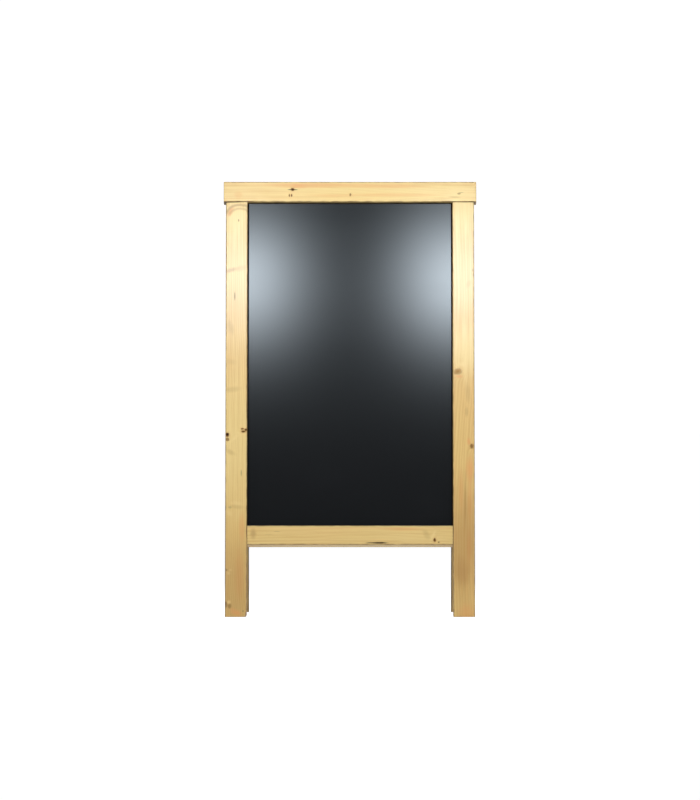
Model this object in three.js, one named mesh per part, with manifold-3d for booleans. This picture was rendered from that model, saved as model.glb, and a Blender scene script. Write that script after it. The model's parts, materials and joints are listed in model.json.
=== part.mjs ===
// Folding wooden sandwich board (A-board): two varnished pine frames, each holding a black chalk
// panel in a groove, joined by two butt hinges across their headers and held open by two folding
// steel stays. Millimetres, +Z up. The origin is on the ground midway between the front and rear
// feet, +X is to the right seen from the front, and the front panel faces -Y.
import * as THREE from 'three';
import { mergeVertices } from 'three/addons/utils/BufferGeometryUtils.js';
import Module from 'manifold-3d';

const wasm = await Module();
wasm.setup();

// ---------------------------------------------------------------- driving dimensions
const OPEN_HEIGHT = 1200; // ground to the highest arris of the headers, standing open
const OPEN_LEAN = THREE.MathUtils.degToRad(13); // lean of each frame from upright
const CLOSED_GAP = 3; // between the two frames' backs when folded flat
const FIT_GAP = 0.3; // kept between fitted pieces

const HEADER_LENGTH = 700;
const HEADER_HEIGHT = 57;
const HEADER_OVERHANG = 6.5; // header past the stile's outer face
const TIMBER_DEPTH = 36;
const STILE_WIDTH = 60;
const RAIL_HEIGHT = 54; // bottom rail
const SIGHT_HEIGHT = 918; // panel showing between header and bottom rail
const ARRIS_RADIUS = 2.2; // rounding of every long timber edge

const PANEL_THICKNESS = 6;
const PANEL_RECESS = 15; // panel face behind the timber's front face
const PANEL_TONGUE = 8; // panel edge held in the grooves

const DOWEL_RADIUS = 5;
const DOWEL_LENGTH = 50;
const DOWEL_CHAMFER = 1;
const HEADER_DOWEL_SPACING = 28;
const RAIL_DOWEL_SPACING = 22;

const FOOT_CHIP_WIDTH = 5.5; // corner knocked off the front left leg
const FOOT_CHIP_HEIGHT = 17;

const HINGE_LENGTH = 76;
const HINGE_INSET = 130; // hinge centre in from the header's end
const KNUCKLE_COUNT = 5;
const KNUCKLE_RADIUS = 4;
const LEAF_THICKNESS = 2;
const LEAF_REACH = 25; // hinge axis to the leaf's far edge
const LEAF_CORNER = 3;
const LEAF_NOTCH_CLEARANCE = 0.5;
const PIN_RADIUS = 2;
const PIN_RUNNING_CLEARANCE = 0.08;
const PIN_HEAD_RADIUS = 3.2;
const PIN_HEAD_HEIGHT = 1.4;

const SCREW_LENGTH = 18;
const SCREW_RADIUS = 1.9;
const SCREW_HEAD_RADIUS = 3.8;
const SCREW_HEAD_HEIGHT = 1.7;
const SCREW_RIM = 0.2; // upright edge of the countersunk head
const SCREW_TIP = 4;
const SCREW_SPREAD = 26; // end screws from the hinge's middle
const SCREW_END_REACH = 14; // end screws from the hinge axis
const SCREW_MIDDLE_REACH = 19;

const STAY_DROP = 800; // hinge axis down to the stay pivots, along the frame
const STAY_BACK_SETBACK = 7.5; // stay pivot in from the timber's back face
const STAY_WIDTH = 12;
const STAY_THICKNESS = 2;
const STAY_HOLE_CLEARANCE = 0.3;
const WASHER_THICKNESS = 1.2;
const WASHER_RADIUS = 5;
const PIVOT_RADIUS = 2.4;
const PIVOT_GRIP = 22; // pivot screw in the stile
const PIVOT_HEAD_RADIUS = 5;
const PIVOT_HEAD_HEIGHT = 2.2;
const RIVET_RADIUS = 2;
const RIVET_HEAD_RADIUS = 4.5;
const RIVET_HEAD_HEIGHT = 2;

const ROUND_SEGMENTS = 16;
const SMALL_ROUND_SEGMENTS = 12;
const ARRIS_SEGMENTS = 3;

// ---------------------------------------------------------------- derived places
// Each frame is laid out in its own upright axes with the hinge axis as origin: x to the right,
// y from the writing face (negative) to the back, z along the stiles. Both frames are alike.
const BACK_Y = -CLOSED_GAP / 2;
const FRONT_Y = BACK_Y - TIMBER_DEPTH;
const MIDDLE_Y = (BACK_Y + FRONT_Y) / 2;

const HEADER_TOP = -KNUCKLE_RADIUS - FIT_GAP;
const HEADER_BOTTOM = HEADER_TOP - HEADER_HEIGHT;
const STILE_TOP = HEADER_BOTTOM - FIT_GAP;
const RAIL_TOP = HEADER_BOTTOM - SIGHT_HEIGHT;
const RAIL_BOTTOM = RAIL_TOP - RAIL_HEIGHT;

const STILE_OUTER = HEADER_LENGTH / 2 - HEADER_OVERHANG;
const STILE_INNER = STILE_OUTER - STILE_WIDTH;
const STILE_MIDDLE = (STILE_OUTER + STILE_INNER) / 2;

const PANEL_FRONT = FRONT_Y + PANEL_RECESS;
const PANEL_MIDDLE_Y = PANEL_FRONT + PANEL_THICKNESS / 2;
const PANEL_WIDTH = 2 * (STILE_INNER + PANEL_TONGUE);
const PANEL_HEIGHT = SIGHT_HEIGHT + 2 * PANEL_TONGUE;
const PANEL_MIDDLE_Z = (HEADER_BOTTOM + RAIL_TOP) / 2;

// The rounded front top arris of the header is the board's highest line.
const HIGHEST_ABOVE_AXIS =
  -(FRONT_Y + ARRIS_RADIUS) * Math.sin(OPEN_LEAN) +
  (HEADER_TOP - ARRIS_RADIUS) * Math.cos(OPEN_LEAN) +
  ARRIS_RADIUS;
const AXIS_HEIGHT = OPEN_HEIGHT - HIGHEST_ABOVE_AXIS;
const FOOT_DEEPEST = -AXIS_HEIGHT / Math.cos(OPEN_LEAN) + FRONT_Y * Math.tan(OPEN_LEAN);

const HINGE_X = HEADER_LENGTH / 2 - HINGE_INSET;
const KNUCKLE_PITCH = HINGE_LENGTH / KNUCKLE_COUNT;
const LEAF_TOP = -KNUCKLE_RADIUS + LEAF_THICKNESS;

const PIVOT_Y = BACK_Y - STAY_BACK_SETBACK;
const STAY_REACH = -PIVOT_Y * Math.cos(OPEN_LEAN) + STAY_DROP * Math.sin(OPEN_LEAN);
const WASHER_OUTER_X = STILE_INNER - FIT_GAP;
const FRONT_LINK_OUTER_X = WASHER_OUTER_X - WASHER_THICKNESS - FIT_GAP;
const REAR_LINK_OUTER_X = FRONT_LINK_OUTER_X - STAY_THICKNESS - FIT_GAP;
const LINK_OUTER_X = { front: FRONT_LINK_OUTER_X, rear: REAR_LINK_OUTER_X };

const SIDES = [
  { name: 'left', sign: -1 },
  { name: 'right', sign: 1 },
];

// ---------------------------------------------------------------- materials
const makeMaterial = {
  pine: () => new THREE.MeshStandardMaterial({ color: 0xdcb878, roughness: 0.45 }),
  beech: () => new THREE.MeshStandardMaterial({ color: 0xc9a06c, roughness: 0.7 }),
  laminate: () => new THREE.MeshStandardMaterial({ color: 0x17181a, roughness: 0.4 }),
  zinc: () => new THREE.MeshStandardMaterial({ color: 0xb9bcc0, roughness: 0.35, metalness: 1 }),
};

// ---------------------------------------------------------------- solids
function toSolid(geometry) {
  const bare = geometry.clone();
  bare.deleteAttribute('normal');
  bare.deleteAttribute('uv');
  const merged = mergeVertices(bare);
  return new wasm.Manifold(
    new wasm.Mesh({
      numProp: 3,
      vertProperties: new Float32Array(merged.attributes.position.array),
      triVerts: new Uint32Array(merged.index.array),
    }),
  );
}

function toGeometry(solid) {
  const { vertProperties, triVerts } = solid.getMesh();
  const geometry = new THREE.BufferGeometry();
  geometry.setAttribute('position', new THREE.BufferAttribute(vertProperties, 3));
  geometry.setIndex(new THREE.BufferAttribute(triVerts, 1));
  geometry.computeVertexNormals();
  return geometry;
}

const cut = (solid, tools) => tools.reduce((left, tool) => left.subtract(tool), solid);

function box(low, high) {
  const size = high.map((value, i) => value - low[i]);
  const geometry = new THREE.BoxGeometry(...size);
  geometry.translate(...low.map((value, i) => value + size[i] / 2));
  return geometry;
}

function roundedRectangle(width, height, radius) {
  const [w, h] = [width / 2 - radius, height / 2 - radius];
  const shape = new THREE.Shape();
  shape.absarc(w, h, radius, 0, Math.PI / 2);
  shape.absarc(-w, h, radius, Math.PI / 2, Math.PI);
  shape.absarc(-w, -h, radius, Math.PI, 1.5 * Math.PI);
  shape.absarc(w, -h, radius, 1.5 * Math.PI, 2 * Math.PI);
  return shape;
}

// An outline drawn in (y, z) and carried along x, centred on x = 0.
function extrudeAlongX(shape, length, curveSegments) {
  const geometry = new THREE.ExtrudeGeometry(shape, {
    depth: length,
    bevelEnabled: false,
    curveSegments,
  });
  geometry.translate(0, 0, -length / 2);
  const toYZ = new THREE.Matrix4().makeBasis(
    new THREE.Vector3(0, 1, 0),
    new THREE.Vector3(0, 0, 1),
    new THREE.Vector3(1, 0, 0),
  );
  return geometry.applyMatrix4(toYZ);
}

// A profile of [radius, height] pairs, from the lowest up, turned about z.
function turned(profile, segments = SMALL_ROUND_SEGMENTS) {
  const points = profile.map(([radius, height]) => new THREE.Vector2(radius, height));
  return new THREE.LatheGeometry(points, segments).rotateX(Math.PI / 2);
}

function rod(radius, length, segments = ROUND_SEGMENTS) {
  return new THREE.CylinderGeometry(radius, radius, length, segments).rotateX(Math.PI / 2);
}

const zToX = (geometry) => geometry.rotateY(Math.PI / 2);

function mesh(name, geometry, material) {
  const piece = new THREE.Mesh(geometry, makeMaterial[material]());
  piece.name = name;
  return piece;
}

// ---------------------------------------------------------------- timber joints
// Where the two dowels of each joint sit: up through the header joint, along x at the bottom rail.
function dowelPlaces(sign) {
  const headerDowels = [
    { label: 'header_inner', x: STILE_MIDDLE - HEADER_DOWEL_SPACING / 2 },
    { label: 'header_outer', x: STILE_MIDDLE + HEADER_DOWEL_SPACING / 2 },
  ].map(({ label, x }) => ({
    label,
    position: [sign * x, MIDDLE_Y, HEADER_BOTTOM - FIT_GAP / 2],
    alongX: false,
  }));
  const railMiddle = (RAIL_TOP + RAIL_BOTTOM) / 2;
  const railDowels = [
    { label: 'rail_upper', z: railMiddle + RAIL_DOWEL_SPACING / 2 },
    { label: 'rail_lower', z: railMiddle - RAIL_DOWEL_SPACING / 2 },
  ].map(({ label, z }) => ({
    label,
    position: [sign * (STILE_INNER - FIT_GAP / 2), MIDDLE_Y, z],
    alongX: true,
  }));
  return [...headerDowels, ...railDowels];
}

function dowelGeometry({ position, alongX }) {
  const half = DOWEL_LENGTH / 2;
  const tip = DOWEL_RADIUS - DOWEL_CHAMFER;
  const geometry = turned([
    [0, -half],
    [tip, -half],
    [DOWEL_RADIUS, -half + DOWEL_CHAMFER],
    [DOWEL_RADIUS, half - DOWEL_CHAMFER],
    [tip, half],
    [0, half],
  ]);
  return (alongX ? zToX(geometry) : geometry).translate(...position);
}

function dowelHole({ position, alongX }) {
  const hole = rod(DOWEL_RADIUS + FIT_GAP, DOWEL_LENGTH + 2 * FIT_GAP);
  return toSolid((alongX ? zToX(hole) : hole).translate(...position));
}

function panelGroove() {
  const halfWidth = PANEL_WIDTH / 2 + FIT_GAP;
  const halfHeight = PANEL_HEIGHT / 2 + FIT_GAP;
  return toSolid(
    box(
      [-halfWidth, PANEL_FRONT - FIT_GAP, PANEL_MIDDLE_Z - halfHeight],
      [halfWidth, PANEL_FRONT + PANEL_THICKNESS + FIT_GAP, PANEL_MIDDLE_Z + halfHeight],
    ),
  );
}

// ---------------------------------------------------------------- fixings
function hingeScrewPlaces() {
  const places = [];
  for (const side of SIDES) {
    for (const offset of [-1, 0, 1]) {
      const reach = offset === 0 ? SCREW_MIDDLE_REACH : SCREW_END_REACH;
      const x = side.sign * HINGE_X + offset * SCREW_SPREAD;
      places.push({ hinge: side, offset, position: [x, -reach, LEAF_TOP - FIT_GAP / 2] });
    }
  }
  return places;
}

function hingeScrew({ position }) {
  const profile = [
    [0, -SCREW_LENGTH],
    [SCREW_RADIUS, -SCREW_LENGTH + SCREW_TIP],
    [SCREW_RADIUS, -SCREW_HEAD_HEIGHT],
    [SCREW_HEAD_RADIUS, -SCREW_RIM],
    [SCREW_HEAD_RADIUS, 0],
    [0, 0],
  ];
  return turned(profile).translate(...position);
}

// The countersunk hole that a hinge screw sits in, open above the head.
function hingeScrewHole({ position }) {
  const shank = SCREW_RADIUS + FIT_GAP;
  const head = SCREW_HEAD_RADIUS + FIT_GAP;
  const profile = [
    [0, -SCREW_LENGTH - FIT_GAP],
    [shank, -SCREW_LENGTH - FIT_GAP],
    [shank, -SCREW_HEAD_HEIGHT],
    [head, -SCREW_RIM],
    [head, LEAF_THICKNESS],
    [0, LEAF_THICKNESS],
  ];
  return toSolid(turned(profile).translate(...position));
}

// Pivot screws, washers and rivets of the stays point along x: from the middle out to the stile.
function outwards(geometry, sign, x) {
  const alongX = zToX(geometry);
  alongX.translate(x, 0, 0);
  if (sign < 0) alongX.rotateZ(Math.PI);
  return alongX;
}

function pivotScrew(frameName, sign) {
  const headX = LINK_OUTER_X[frameName] - STAY_THICKNESS - FIT_GAP;
  const length = STILE_INNER + PIVOT_GRIP - headX;
  const profile = [
    [0, -PIVOT_HEAD_HEIGHT],
    [PIVOT_HEAD_RADIUS * 0.6, -PIVOT_HEAD_HEIGHT],
    [PIVOT_HEAD_RADIUS, -PIVOT_HEAD_HEIGHT * 0.35],
    [PIVOT_HEAD_RADIUS, 0],
    [PIVOT_RADIUS, 0],
    [PIVOT_RADIUS, length - SCREW_TIP],
    [0, length],
  ];
  return outwards(turned(profile), sign, headX);
}

function pivotHole(sign) {
  const length = PIVOT_GRIP + 2 * FIT_GAP;
  const hole = rod(PIVOT_RADIUS + STAY_HOLE_CLEARANCE, length).translate(0, 0, length / 2);
  return toSolid(
    outwards(hole, sign, STILE_INNER - FIT_GAP).translate(0, PIVOT_Y, -STAY_DROP),
  );
}

// The ring between the stile and a link: a thin washer at the front, a longer bush at the rear.
function pivotSpacer(frameName, sign) {
  const inner = LINK_OUTER_X[frameName] + FIT_GAP;
  const bore = PIVOT_RADIUS + STAY_HOLE_CLEARANCE;
  const length = WASHER_OUTER_X - inner;
  const profile = [
    [bore, 0],
    [WASHER_RADIUS, 0],
    [WASHER_RADIUS, length],
    [bore, length],
    [bore, 0],
  ];
  return outwards(turned(profile), sign, inner);
}

// The stay rivet rides in the rear link and ends short of the front one.
function kneeRivet(sign) {
  const headX = REAR_LINK_OUTER_X - STAY_THICKNESS - FIT_GAP;
  const profile = [
    [0, -RIVET_HEAD_HEIGHT],
    [RIVET_HEAD_RADIUS * 0.6, -RIVET_HEAD_HEIGHT * 0.85],
    [RIVET_HEAD_RADIUS, 0],
    [RIVET_RADIUS, 0],
    [RIVET_RADIUS, STAY_THICKNESS + FIT_GAP],
    [0, STAY_THICKNESS + FIT_GAP],
  ];
  return outwards(turned(profile), sign, headX);
}

function stayLink() {
  const radius = STAY_WIDTH / 2;
  const shape = new THREE.Shape();
  shape.absarc(STAY_REACH, 0, radius, -Math.PI / 2, Math.PI / 2);
  shape.absarc(0, 0, radius, Math.PI / 2, 1.5 * Math.PI);
  const holes = [
    [0, PIVOT_RADIUS + STAY_HOLE_CLEARANCE],
    [STAY_REACH, RIVET_RADIUS + STAY_HOLE_CLEARANCE],
  ];
  for (const [y, holeRadius] of holes) {
    const hole = new THREE.Path();
    hole.absarc(y, 0, holeRadius, 0, 2 * Math.PI, true);
    shape.holes.push(hole);
  }
  return extrudeAlongX(shape, STAY_THICKNESS, SMALL_ROUND_SEGMENTS / 2);
}

// ---------------------------------------------------------------- hinges
const knuckleMiddle = (index) => (index - (KNUCKLE_COUNT - 1) / 2) * KNUCKLE_PITCH;

// One leaf with its share of the knuckles, centred on x = 0. The front leaf has the odd ones out.
function hingeLeaf(frameName) {
  const parity = frameName === 'front' ? 0 : 1;
  const notchEdge = -KNUCKLE_RADIUS - LEAF_NOTCH_CLEARANCE;
  const plateDepth = LEAF_REACH + notchEdge;
  const plate = new THREE.ExtrudeGeometry(
    roundedRectangle(HINGE_LENGTH, plateDepth, LEAF_CORNER),
    { depth: LEAF_THICKNESS, bevelEnabled: false, curveSegments: ARRIS_SEGMENTS },
  );
  plate.translate(0, notchEdge - plateDepth / 2, -KNUCKLE_RADIUS);
  let leaf = toSolid(plate);
  for (let index = 0; index < KNUCKLE_COUNT; index += 1) {
    if (index % 2 !== parity) continue;
    const middle = knuckleMiddle(index);
    const half = (KNUCKLE_PITCH - FIT_GAP) / 2;
    const knuckle = zToX(rod(KNUCKLE_RADIUS, 2 * half)).translate(middle, 0, 0);
    const web = box(
      [middle - half, notchEdge - LEAF_CORNER, -KNUCKLE_RADIUS],
      [middle + half, 0, LEAF_TOP],
    );
    leaf = leaf.add(toSolid(knuckle)).add(toSolid(web));
  }
  const bore = zToX(rod(PIN_RADIUS + PIN_RUNNING_CLEARANCE, 2 * HINGE_LENGTH));
  return leaf.subtract(toSolid(bore));
}

function hingePin() {
  const half = HINGE_LENGTH / 2 + FIT_GAP;
  const outerEnd = half + PIN_HEAD_HEIGHT;
  const crown = PIN_HEAD_RADIUS * 0.6;
  return zToX(
    turned(
      [
        [0, -outerEnd],
        [crown, -outerEnd],
        [PIN_HEAD_RADIUS, -half - PIN_HEAD_HEIGHT / 2],
        [PIN_HEAD_RADIUS, -half],
        [PIN_RADIUS, -half],
        [PIN_RADIUS, half],
        [PIN_HEAD_RADIUS, half],
        [PIN_HEAD_RADIUS, half + PIN_HEAD_HEIGHT / 2],
        [crown, outerEnd],
        [0, outerEnd],
      ],
      ROUND_SEGMENTS,
    ),
  );
}

// ---------------------------------------------------------------- one frame
function headerRail(dowelHoles, groove, screwHoles) {
  const section = roundedRectangle(TIMBER_DEPTH, HEADER_HEIGHT, ARRIS_RADIUS);
  const blank = extrudeAlongX(section, HEADER_LENGTH, ARRIS_SEGMENTS);
  blank.translate(0, MIDDLE_Y, (HEADER_TOP + HEADER_BOTTOM) / 2);
  return toGeometry(cut(toSolid(blank), [groove, ...dowelHoles, ...screwHoles]));
}

function bottomRail(dowelHoles, groove) {
  const section = roundedRectangle(TIMBER_DEPTH, RAIL_HEIGHT, ARRIS_RADIUS);
  const length = 2 * (STILE_INNER - FIT_GAP);
  const blank = extrudeAlongX(section, length, ARRIS_SEGMENTS);
  blank.translate(0, MIDDLE_Y, (RAIL_TOP + RAIL_BOTTOM) / 2);
  return toGeometry(cut(toSolid(blank), [groove, ...dowelHoles]));
}

// Everything below the ground, seen from the leaning frame's own axes.
function belowGround() {
  const size = OPEN_HEIGHT;
  const slab = new THREE.BoxGeometry(2 * size, 2 * size, size);
  slab.translate(0, 0, -size / 2 - AXIS_HEIGHT);
  return toSolid(slab.rotateX(OPEN_LEAN));
}

// A wedge that takes the inner bottom corner off a leg.
function footChip(sign) {
  const wedge = new THREE.Shape([
    new THREE.Vector2(sign * (STILE_INNER + FOOT_CHIP_WIDTH), 0),
    new THREE.Vector2(sign * STILE_INNER, FOOT_CHIP_HEIGHT),
    new THREE.Vector2(sign * (STILE_INNER - FOOT_CHIP_WIDTH), FOOT_CHIP_HEIGHT),
    new THREE.Vector2(sign * (STILE_INNER - FOOT_CHIP_WIDTH), -FOOT_CHIP_HEIGHT),
    new THREE.Vector2(sign * (STILE_INNER + FOOT_CHIP_WIDTH), -FOOT_CHIP_HEIGHT),
  ]);
  const geometry = new THREE.ExtrudeGeometry(wedge, {
    depth: 4 * TIMBER_DEPTH,
    bevelEnabled: false,
  });
  geometry.translate(0, 0, -2 * TIMBER_DEPTH).rotateX(Math.PI / 2);
  return toSolid(geometry.translate(0, MIDDLE_Y, FOOT_DEEPEST));
}

function stile(sign, chipped, dowelHoles, groove) {
  const section = roundedRectangle(STILE_WIDTH, TIMBER_DEPTH, ARRIS_RADIUS);
  const length = STILE_TOP - FOOT_DEEPEST + TIMBER_DEPTH;
  const blank = new THREE.ExtrudeGeometry(section, {
    depth: length,
    bevelEnabled: false,
    curveSegments: ARRIS_SEGMENTS,
  });
  blank.translate(sign * STILE_MIDDLE, MIDDLE_Y, STILE_TOP - length);
  const tools = [groove, ...dowelHoles, pivotHole(sign), belowGround()];
  if (chipped) tools.push(footChip(sign));
  return toGeometry(cut(toSolid(blank), tools));
}

function chalkPanel() {
  const geometry = new THREE.BoxGeometry(PANEL_WIDTH, PANEL_THICKNESS, PANEL_HEIGHT);
  return geometry.translate(0, PANEL_MIDDLE_Y, PANEL_MIDDLE_Z);
}

// Timber, panel, hinge leaves, screws and stay links of one frame, in the frame's own axes.
// The rear frame is the front one turned about, so its left and right change places.
function buildFrame(frameName) {
  const turn = frameName === 'rear' ? -1 : 1;
  const sideOf = (sign) => SIDES.find((side) => side.sign === sign * turn).name;
  const frame = new THREE.Group();
  const groove = panelGroove();
  const screws = hingeScrewPlaces();
  const allDowels = SIDES.flatMap(({ sign }) => dowelPlaces(sign));
  const dowelHoles = allDowels.map(dowelHole);

  frame.add(
    mesh(
      `${frameName}_header_rail`,
      headerRail(dowelHoles, groove, screws.map(hingeScrewHole)),
      'pine',
    ),
    mesh(`${frameName}_bottom_rail`, bottomRail(dowelHoles, groove), 'pine'),
    mesh(`${frameName}_chalk_panel`, chalkPanel(), 'laminate'),
  );

  for (const { sign } of SIDES) {
    const side = sideOf(sign);
    const chipped = frameName === 'front' && side === 'left';
    frame.add(
      mesh(`${frameName}_${side}_stile`, stile(sign, chipped, dowelHoles, groove), 'pine'),
    );
    for (const place of dowelPlaces(sign)) {
      frame.add(
        mesh(`${frameName}_${side}_dowel_${place.label}`, dowelGeometry(place), 'beech'),
      );
    }

    const leafX = sign * HINGE_X;
    const ownScrews = screws.filter(({ hinge }) => hinge.sign === sign);
    const leaf = cut(
      hingeLeaf(frameName).translate([leafX, 0, 0]),
      ownScrews.map(hingeScrewHole),
    );
    frame.add(mesh(`${side}_hinge_${frameName}_leaf`, toGeometry(leaf), 'zinc'));
    for (const screw of ownScrews) {
      const label = screw.offset === 0 ? 'middle' : sideOf(screw.offset);
      frame.add(
        mesh(`${side}_hinge_${frameName}_screw_${label}`, hingeScrew(screw), 'zinc'),
      );
    }

    // Stay pieces share the pivot, below the hinge axis and just inside the timber's back face.
    const pivot = new THREE.Group();
    pivot.position.set(0, PIVOT_Y, -STAY_DROP);
    const spacerName = frameName === 'front' ? 'washer' : 'bush';
    pivot.add(
      mesh(`${side}_stay_${frameName}_pivot_screw`, pivotScrew(frameName, sign), 'zinc'),
      mesh(`${side}_stay_${frameName}_${spacerName}`, pivotSpacer(frameName, sign), 'zinc'),
    );
    const arm = new THREE.Group();
    arm.rotation.x = OPEN_LEAN;
    const link = mesh(`${side}_stay_${frameName}_link`, stayLink(), 'zinc');
    link.position.x = sign * (LINK_OUTER_X[frameName] - STAY_THICKNESS / 2);
    arm.add(link);
    if (frameName === 'rear') {
      const rivet = mesh(`${side}_stay_knee_rivet`, kneeRivet(sign), 'zinc');
      rivet.position.y = STAY_REACH;
      arm.add(rivet);
    }
    pivot.add(arm);
    frame.add(pivot);
  }
  return frame;
}

// ---------------------------------------------------------------- assembly
const sandwichBoard = new THREE.Group();

const frontLean = new THREE.Group();
frontLean.position.z = AXIS_HEIGHT;
frontLean.rotation.x = -OPEN_LEAN;
frontLean.add(buildFrame('front'));
for (const { name, sign } of SIDES) {
  const pin = mesh(`${name}_hinge_pin`, hingePin(), 'zinc');
  pin.position.x = sign * HINGE_X;
  frontLean.add(pin);
}

const rearLean = new THREE.Group();
rearLean.position.z = AXIS_HEIGHT;
rearLean.rotation.x = OPEN_LEAN;
const rearTurn = new THREE.Group();
rearTurn.rotation.z = Math.PI;
rearTurn.add(buildFrame('rear'));
rearLean.add(rearTurn);

sandwichBoard.add(frontLean, rearLean);

export default sandwichBoard;
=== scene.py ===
import json
import math
from collections import namedtuple

import bmesh
import bpy
from mathutils import Matrix, Vector, noise


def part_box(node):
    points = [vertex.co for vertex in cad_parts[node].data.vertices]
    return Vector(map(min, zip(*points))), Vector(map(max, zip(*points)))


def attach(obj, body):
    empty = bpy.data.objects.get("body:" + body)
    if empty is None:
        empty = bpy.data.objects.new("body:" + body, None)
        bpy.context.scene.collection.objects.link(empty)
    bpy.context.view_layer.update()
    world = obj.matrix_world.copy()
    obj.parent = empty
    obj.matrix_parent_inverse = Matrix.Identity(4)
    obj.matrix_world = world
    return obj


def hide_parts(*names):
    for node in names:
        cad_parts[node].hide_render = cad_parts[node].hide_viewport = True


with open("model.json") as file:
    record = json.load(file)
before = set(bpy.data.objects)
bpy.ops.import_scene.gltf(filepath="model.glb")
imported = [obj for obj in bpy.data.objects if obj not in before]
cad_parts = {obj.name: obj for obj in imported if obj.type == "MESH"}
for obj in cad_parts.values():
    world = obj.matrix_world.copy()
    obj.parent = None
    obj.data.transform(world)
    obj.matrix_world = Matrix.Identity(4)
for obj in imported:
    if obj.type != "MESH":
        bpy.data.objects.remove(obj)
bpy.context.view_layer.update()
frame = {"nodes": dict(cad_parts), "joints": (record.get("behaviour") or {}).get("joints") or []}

MM = 0.001
QUARTER = math.pi / 2

# ---------------- places, from the frame
JOINTS = {joint["name"]: joint for joint in frame["joints"]}
AXIS = Vector(JOINTS["fold"]["pos_m"])
LEAN = math.radians(JOINTS["fold"]["range_deg"][1]) / 2
TO_ROW = {
    "front": Matrix.Translation(AXIS) @ Matrix.Rotation(-LEAN, 4, "X"),
    "rear": Matrix.Translation(AXIS)
    @ Matrix.Rotation(LEAN, 4, "X")
    @ Matrix.Rotation(math.pi, 4, "Z"),
}
FRAMES = ("front", "rear")
SIDES = ("left", "right")
INWARDS = {"left": 1, "right": -1}  # the way along x from each side to the board's middle

Box = namedtuple("Box", "low high")


def local_box(node, side):
    """A CAD node's lowest and highest corners in the axes of the front or rear frame."""
    back = TO_ROW[side].inverted()
    points = [back @ vertex.co for vertex in frame["nodes"][node].data.vertices]
    low = Vector([min(point[i] for point in points) for i in range(3)])
    high = Vector([max(point[i] for point in points) for i in range(3)])
    return Box(low, high)


def side_sign(side, frame_name):
    """-1 or 1: where the board's left or right lies along a frame's own x."""
    return -INWARDS[side] if frame_name == "front" else INWARDS[side]


# ---------------- mesh helpers
def as_mesh(bm, name="part"):
    """Turns a bmesh into a mesh, and frees it."""
    mesh = bpy.data.meshes.new(name)
    bm.to_mesh(mesh)
    bm.free()
    return mesh


def add_object(name, data):
    made = bpy.data.objects.new(name, data)
    bpy.context.scene.collection.objects.link(made)
    return made


def finish_piece(node, label, bm, to_row, body, material, smooth_angle=35, stands=True):
    """Turns a bmesh into the piece node_label, which rides on a body. If it stands for the CAD
    node, it takes its place. to_row takes the bmesh's own axes to the part's."""
    bmesh.ops.recalc_face_normals(bm, faces=bm.faces)
    mesh = as_mesh(bm, f"{node}_{label}")
    mesh.transform(to_row)
    mesh.shade_smooth()
    mesh.set_sharp_from_angle(angle=math.radians(smooth_angle))
    mesh.materials.append(material)
    piece = add_object(mesh.name, mesh)
    if stands:
        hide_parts(node)
    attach(piece, body)
    return piece


def frame_piece(frame_name, node, label, bm, material, smooth_angle=35):
    """A piece made in the axes of the front or rear frame, and fixed to that frame."""
    to_row, body = TO_ROW[frame_name], f"{frame_name}_frame"
    return finish_piece(node, label, bm, to_row, body, material, smooth_angle)


def box_mesh(low, high):
    bm = bmesh.new()
    bmesh.ops.create_cube(bm, size=1)
    size = [high[i] - low[i] for i in range(3)]
    bmesh.ops.scale(bm, vec=size, verts=bm.verts)
    bmesh.ops.translate(bm, vec=[(high[i] + low[i]) / 2 for i in range(3)], verts=bm.verts)
    return bm


def arc(centre_x, centre_y, radius, start, end, steps):
    """Points on a circle from one angle to another, both ends included."""
    points = []
    for step in range(steps + 1):
        angle = start + (end - start) * step / steps
        points.append((centre_x + radius * math.cos(angle), centre_y + radius * math.sin(angle)))
    return points


def lathe_mesh(profile, segments=40):
    """A closed body from [radius, height] pairs, lowest first, turned about z."""
    bm = bmesh.new()
    rings = []
    for radius, height in profile:
        if radius < 1e-7:
            rings.append([bm.verts.new((0, 0, height))])
            continue
        circle = arc(0, 0, radius, 0, 2 * math.pi, segments)[:-1]
        rings.append([bm.verts.new((x, y, height)) for x, y in circle])
    for lower, upper in zip(rings, rings[1:]):
        for step in range(segments):
            after = (step + 1) % segments
            corners = [lower[step % len(lower)], lower[after % len(lower)]]
            corners += [upper[after % len(upper)], upper[step % len(upper)]]
            unique = list(dict.fromkeys(corners))
            if len(unique) > 2:
                bm.faces.new(unique)
    return bm


def rod_mesh(radius, low, high, segments):
    return lathe_mesh([(0, low), (radius, low), (radius, high), (0, high)], segments)


def ring_mesh(inner, outer, low, high, chamfer, segments=40):
    """A washer or bush about z with chamfered rims."""
    profile = [
        (inner, low), (outer - chamfer, low), (outer, low + chamfer),
        (outer, high - chamfer), (outer - chamfer, high), (inner, high), (inner, low),
    ]
    bm = lathe_mesh(profile, segments)
    bmesh.ops.remove_doubles(bm, verts=bm.verts, dist=1e-7)
    return bm


def moved(bm, *matrices):
    for matrix in matrices:
        bmesh.ops.transform(bm, matrix=matrix, verts=bm.verts)
    return bm


def joined(*parts):
    """One bmesh holding all the parts."""
    whole = bmesh.new()
    for part in parts:
        holder = as_mesh(part)
        whole.from_mesh(holder)
        bpy.data.meshes.remove(holder)
    return whole


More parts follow.
